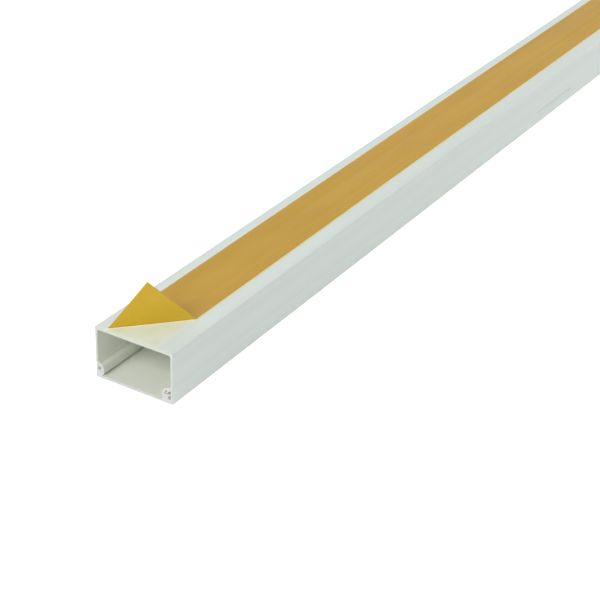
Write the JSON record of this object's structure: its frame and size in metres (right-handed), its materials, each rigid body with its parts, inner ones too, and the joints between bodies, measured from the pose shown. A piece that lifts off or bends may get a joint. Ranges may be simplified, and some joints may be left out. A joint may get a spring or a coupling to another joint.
{
  "type": "cord cover raceway",
  "caption": "Length of self-adhesive rectangular plastic cable raceway: a U-shaped base closed by a clip-on cover, with lined tape along its back.",
  "frame": {"origin": "on the outer face of the cover, under the middle of the length and halfway across the width", "axes": "+X along the length, away from the end with the peeled liner corner; +Y towards the side with the narrow clip; +Z from the cover to the adhesive back"},
  "size_m": [2, 0.04, 0.0463],
  "materials": {
    "white_pvc": "smooth extruded rigid plastic with a low sheen",
    "adhesive": "thin pale tacky tape",
    "liner_paper": "thin amber release paper, glossier and yellower underneath"
  },
  "bodies": {
    "root": {"base_channel": "white_pvc", "snap_cover": "white_pvc", "adhesive_tape": "adhesive", "release_liner": "liner_paper"}
  },
  "joints": []
}
